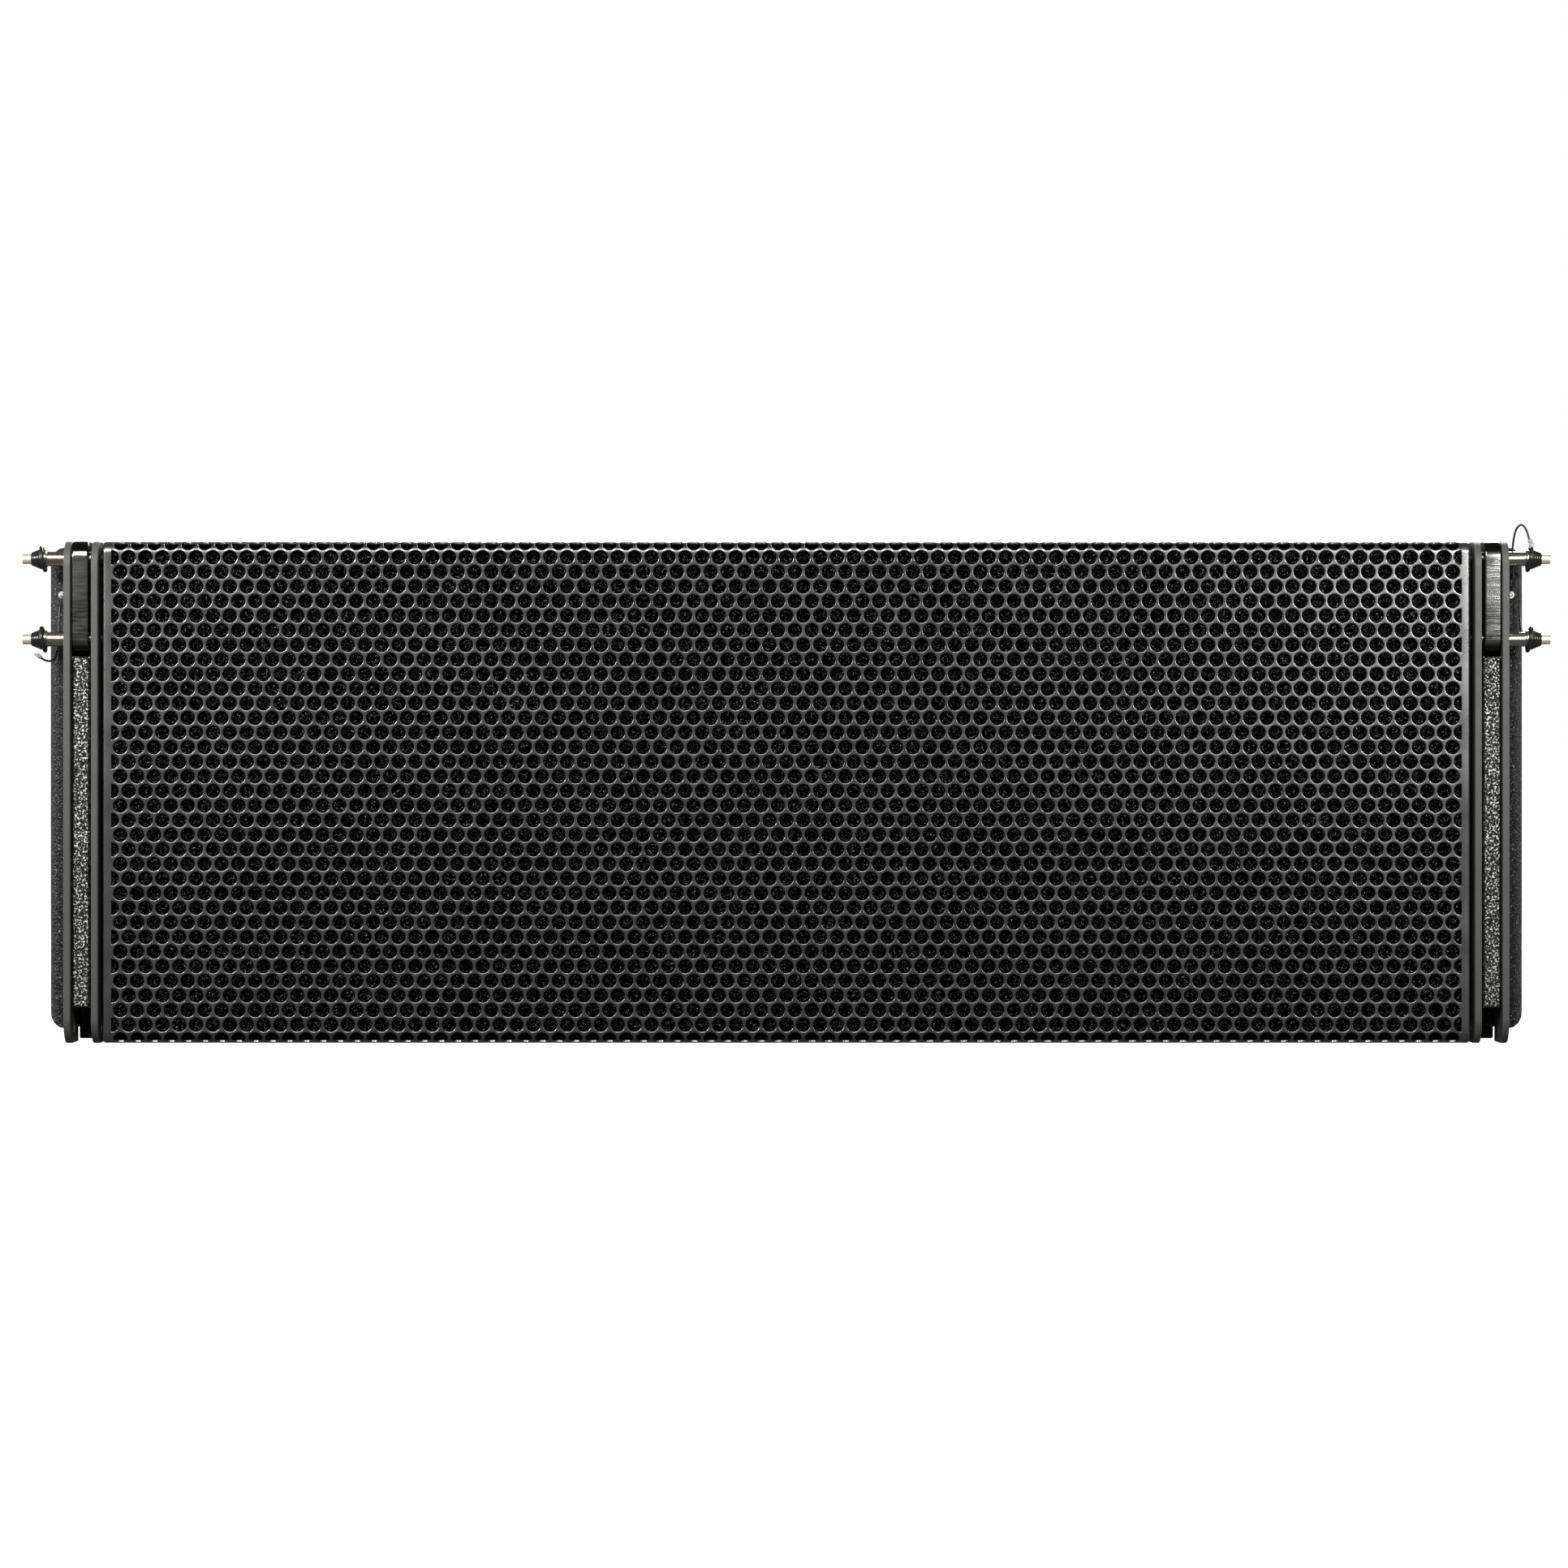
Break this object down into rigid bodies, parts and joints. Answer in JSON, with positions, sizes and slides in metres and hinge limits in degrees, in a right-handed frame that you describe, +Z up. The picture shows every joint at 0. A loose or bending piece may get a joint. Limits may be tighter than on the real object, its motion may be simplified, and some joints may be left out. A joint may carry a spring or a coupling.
{
  "type": "line array speaker",
  "caption": "Wide wedge-shaped line array loudspeaker with full-width perforated grille, steel corner plates, sliding link bars and quick-release pins.",
  "frame": {"origin": "bottom centre of the bounding box of the cabinet with its rigging and without the lanyards, level with the lower edges of the front corner plates", "axes": "+X to the right as seen from the front, the grille faces -Y, +Z up"},
  "size_m": [1.0932, 0.46, 0.3706],
  "materials": {
    "cabinet_black": "black textured paint over plywood",
    "raw_plywood": "bare plywood",
    "grille_grey": "dark grey powder coat",
    "acoustic_foam": "open-cell black foam",
    "rigging_plate": "fine-textured dark grey powder coat",
    "bar_steel": "bare ground steel",
    "pin_steel": "satin stainless steel with black plastic head",
    "button_metal": "bright warm-tinted metal",
    "black_plastic": "black moulded plastic",
    "black_rubber": "matt black rubber",
    "lanyard_sheath": "black plastic-coated wire",
    "driver_basket": "black-coated cast aluminium",
    "driver_magnet": "black-plated steel",
    "cone_paper": "coated paper pulp",
    "connector_metal": "satin black paint",
    "filter_board": "circuit board"
  },
  "bodies": {
    "root": {"top_panel": "cabinet_black", "bottom_panel": "cabinet_black", "rear_panel": "cabinet_black", "front_baffle": "cabinet_black", "side_panel_left": "cabinet_black", "divider_left": "raw_plywood", "woofer_basket_left": "driver_basket", "woofer_magnet_left": "driver_magnet", "woofer_surround_left": "black_rubber", "front_inner_plate_left": "rigging_plate", "front_outer_plate_left": "rigging_plate", "front_spacer_left": "cabinet_black", "rear_bracket_left": "rigging_plate", "handle_cup_left": "black_plastic", "handle_grip_left": "black_rubber", "lanyard_anchor_left": "bar_steel", "side_panel_right": "cabinet_black", "divider_right": "raw_plywood", "woofer_basket_right": "driver_basket", "woofer_magnet_right": "driver_magnet", "woofer_surround_right": "black_rubber", "front_inner_plate_right": "rigging_plate", "front_outer_plate_right": "rigging_plate", "front_spacer_right": "cabinet_black", "rear_bracket_right": "rigging_plate", "handle_cup_right": "black_plastic", "handle_grip_right": "black_rubber", "lanyard_anchor_right": "bar_steel", "grille": "grille_grey", "grille_foam": "acoustic_foam", "waveguide": "black_plastic", "hf_driver_lower": "driver_magnet", "hf_driver_upper": "driver_magnet", "lanyard_upper_right": "lanyard_sheath", "lanyard_lower_left": "lanyard_sheath", "lanyard_lower_right": "lanyard_sheath", "connector_plate": "connector_metal", "socket_input": "black_plastic", "socket_link": "black_plastic", "crossover_board": "filter_board"},
    "upper_pin_left": {"upper_pin_left": "pin_steel"},
    "upper_button_left": {"upper_button_left": "button_metal"},
    "lower_pin_left": {"lower_pin_left": "pin_steel"},
    "lower_button_left": {"lower_button_left": "button_metal"},
    "rear_pin_left": {"rear_pin_left": "pin_steel"},
    "rear_button_left": {"rear_button_left": "button_metal"},
    "front_link_left": {"front_link_left": "bar_steel"},
    "rear_arm_left": {"rear_arm_left": "bar_steel"},
    "woofer_cone_left": {"woofer_cone_left": "cone_paper"},
    "upper_pin_right": {"upper_pin_right": "pin_steel"},
    "upper_button_right": {"upper_button_right": "button_metal"},
    "lower_pin_right": {"lower_pin_right": "pin_steel"},
    "lower_button_right": {"lower_button_right": "button_metal"},
    "rear_pin_right": {"rear_pin_right": "pin_steel"},
    "rear_button_right": {"rear_button_right": "button_metal"},
    "front_link_right": {"front_link_right": "bar_steel"},
    "rear_arm_right": {"rear_arm_right": "bar_steel"},
    "woofer_cone_right": {"woofer_cone_right": "cone_paper"}
  },
  "joints": [
    {"name": "upper_pin_left_pull", "type": "slide", "parent": "root", "child": "upper_pin_left", "axis": [-1, 0, 0], "range_m": [0, 0.032]},
    {"name": "upper_button_left_press", "type": "slide", "parent": "upper_pin_left", "child": "upper_button_left", "axis": [1, 0, 0], "range_m": [0, 0.003], "stiffness_N_per_m": 1200},
    {"name": "lower_pin_left_pull", "type": "slide", "parent": "root", "child": "lower_pin_left", "axis": [-1, 0, 0], "range_m": [0, 0.032]},
    {"name": "lower_button_left_press", "type": "slide", "parent": "lower_pin_left", "child": "lower_button_left", "axis": [1, 0, 0], "range_m": [0, 0.003], "stiffness_N_per_m": 1200},
    {"name": "rear_pin_left_pull", "type": "slide", "parent": "root", "child": "rear_pin_left", "axis": [-1, 0, 0], "range_m": [0, 0.032]},
    {"name": "rear_button_left_press", "type": "slide", "parent": "rear_pin_left", "child": "rear_button_left", "axis": [1, 0, 0], "range_m": [0, 0.003], "stiffness_N_per_m": 1200},
    {"name": "front_link_left_lift", "type": "slide", "parent": "root", "child": "front_link_left", "axis": [0, 0, 1], "range_m": [0, 0.024]},
    {"name": "rear_arm_left_lift", "type": "slide", "parent": "root", "child": "rear_arm_left", "axis": [0, 0, 1], "range_m": [0, 0.126]},
    {"name": "woofer_left_excursion", "type": "slide", "parent": "root", "child": "woofer_cone_left", "axis": [0, -1, 0], "range_m": [-0.006, 0.006], "stiffness_N_per_m": 4000, "deforming": ["woofer_surround_left"]},
    {"name": "upper_pin_right_pull", "type": "slide", "parent": "root", "child": "upper_pin_right", "axis": [1, 0, 0], "range_m": [0, 0.032]},
    {"name": "upper_button_right_press", "type": "slide", "parent": "upper_pin_right", "child": "upper_button_right", "axis": [-1, 0, 0], "range_m": [0, 0.003], "stiffness_N_per_m": 1200},
    {"name": "lower_pin_right_pull", "type": "slide", "parent": "root", "child": "lower_pin_right", "axis": [1, 0, 0], "range_m": [0, 0.032]},
    {"name": "lower_button_right_press", "type": "slide", "parent": "lower_pin_right", "child": "lower_button_right", "axis": [-1, 0, 0], "range_m": [0, 0.003], "stiffness_N_per_m": 1200},
    {"name": "rear_pin_right_pull", "type": "slide", "parent": "root", "child": "rear_pin_right", "axis": [1, 0, 0], "range_m": [0, 0.032]},
    {"name": "rear_button_right_press", "type": "slide", "parent": "rear_pin_right", "child": "rear_button_right", "axis": [-1, 0, 0], "range_m": [0, 0.003], "stiffness_N_per_m": 1200},
    {"name": "front_link_right_lift", "type": "slide", "parent": "root", "child": "front_link_right", "axis": [0, 0, 1], "range_m": [0, 0.024]},
    {"name": "rear_arm_right_lift", "type": "slide", "parent": "root", "child": "rear_arm_right", "axis": [0, 0, 1], "range_m": [0, 0.126]},
    {"name": "woofer_right_excursion", "type": "slide", "parent": "root", "child": "woofer_cone_right", "axis": [0, -1, 0], "range_m": [-0.006, 0.006], "stiffness_N_per_m": 4000, "deforming": ["woofer_surround_right"]}
  ]
}
